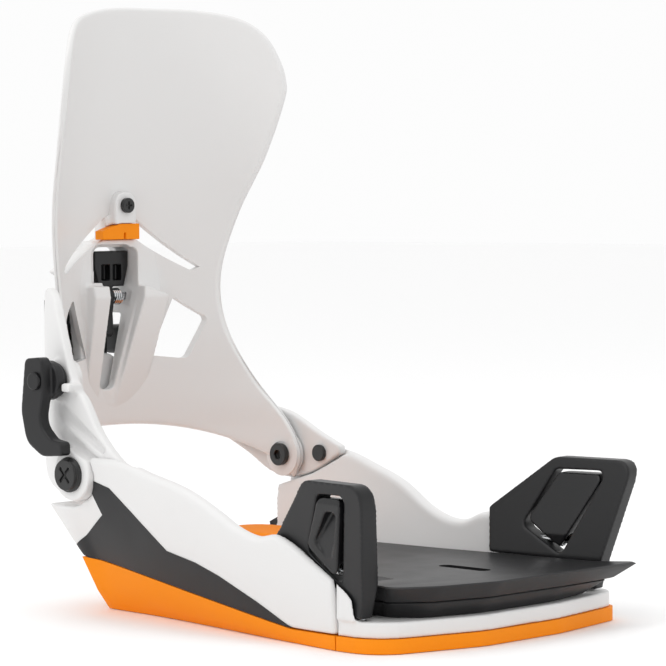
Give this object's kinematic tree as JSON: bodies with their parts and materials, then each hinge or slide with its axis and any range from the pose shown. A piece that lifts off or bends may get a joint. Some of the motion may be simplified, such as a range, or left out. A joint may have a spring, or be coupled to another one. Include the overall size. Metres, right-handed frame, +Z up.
{
  "type": "step-in snowboard binding",
  "caption": "Strapless step-in snowboard binding for the right foot: white base and tall curved highback, two dark toe hooks with latches, heel catch and side release lever.",
  "frame": {"origin": "centre of the mounting disc's four board bolts, on the underside of the sole", "axes": "+X to the toe, +Y to the inner (medial) side of the foot, +Z up away from the board"},
  "size_m": [0.2779, 0.1725, 0.2791],
  "materials": {
    "white_shell": "satin moulded",
    "orange_pad": "matte moulded",
    "orange_rubber": "matte foam rubber",
    "dark_plastic": "fine textured",
    "black_plastic": "satin",
    "black_steel": "black oxide",
    "bright_steel": "plain"
  },
  "bodies": {
    "chassis": {"chassis": "white_shell", "toe_section": "white_shell", "heel_hoop": "white_shell", "base_pad_rear": "orange_pad", "base_pad_front": "orange_pad", "lateral_panel": "dark_plastic", "medial_panel": "dark_plastic", "footbed_base": "dark_plastic", "heel_pad": "orange_rubber", "ramp_screw": "black_steel", "ramp_nut": "bright_steel", "lateral_toe_hook": "dark_plastic", "medial_toe_hook": "dark_plastic", "lateral_latch_pin": "bright_steel", "medial_latch_pin": "bright_steel", "lateral_latch_spring": "bright_steel", "medial_latch_spring": "bright_steel", "hook_screws": "bright_steel", "lateral_pivot_screw": "black_steel", "medial_pivot_bolt": "black_steel", "pivot_nuts": "bright_steel", "hoop_screws": "black_steel", "release_housing": "dark_plastic", "release_cable": "bright_steel", "lever_spring": "bright_steel"},
    "disc": {"mounting_disc": "dark_plastic"},
    "ramp": {"toe_ramp": "dark_plastic"},
    "lateral_latch": {"lateral_toe_latch": "black_plastic"},
    "medial_latch": {"medial_toe_latch": "black_plastic"},
    "highback": {"highback_shell": "white_shell", "heel_receiver": "white_shell", "receiver_marker": "orange_pad", "receiver_screw": "black_steel", "catch_pin": "bright_steel", "catch_spring": "bright_steel", "lean_screw": "bright_steel"},
    "lean_stop": {"lean_adjuster": "dark_plastic"},
    "catch": {"heel_catch": "black_plastic"},
    "lever": {"release_lever": "dark_plastic", "lever_shaft": "bright_steel", "lever_cap": "black_plastic"},
    "plunger": {"release_plunger": "bright_steel"}
  },
  "joints": [
    {"name": "stance_rotation", "type": "hinge", "parent": "chassis", "child": "disc", "pos_m": [0, 0, 0], "axis": [0, 0, 1], "continuous": true},
    {"name": "toe_ramp_slide", "type": "slide", "parent": "chassis", "child": "ramp", "axis": [1, 0, 0], "range_m": [0, 0.01]},
    {"name": "lateral_latch_swing", "type": "hinge", "parent": "chassis", "child": "lateral_latch", "pos_m": [0.06212, -0.06607, 0.034], "axis": [0.9917, -0.1288, 0], "range_deg": [0, 15], "stiffness_Nm_per_rad": 0.5},
    {"name": "medial_latch_swing", "type": "hinge", "parent": "chassis", "child": "medial_latch", "pos_m": [0.07512, 0.07207, 0.034], "axis": [-0.9917, -0.1288, 0], "range_deg": [0, 15], "stiffness_Nm_per_rad": 0.5},
    {"name": "highback_fold", "type": "hinge", "parent": "chassis", "child": "highback", "pos_m": [-0.097, 0, 0.064], "axis": [0, 1, 0], "range_deg": [0, 80]},
    {"name": "release_lever_swing", "type": "hinge", "parent": "chassis", "child": "lever", "pos_m": [-0.112, -0.078, 0.106], "axis": [0, -1, 0], "range_deg": [0, 45], "stiffness_Nm_per_rad": 0.5},
    {"name": "heel_catch_swing", "type": "hinge", "parent": "highback", "child": "catch", "pos_m": [-0.156, -0.003, 0.141], "axis": [0, -1, 0], "range_deg": [0, 18.5]},
    {"name": "release_plunger_slide", "type": "slide", "parent": "chassis", "child": "plunger", "axis": [1, 0, 0], "range_m": [0, 0.005]},
    {"name": "lean_adjuster_slide", "type": "slide", "parent": "highback", "child": "lean_stop", "axis": [0, 0, 1], "range_m": [0, 0.005]}
  ],
  "couplings": [
    {"joint": "heel_catch_swing", "follows": "release_lever_swing", "ratio": 0.4},
    {"joint": "release_plunger_slide", "follows": "release_lever_swing", "m_per_rad": 0.0063}
  ]
}
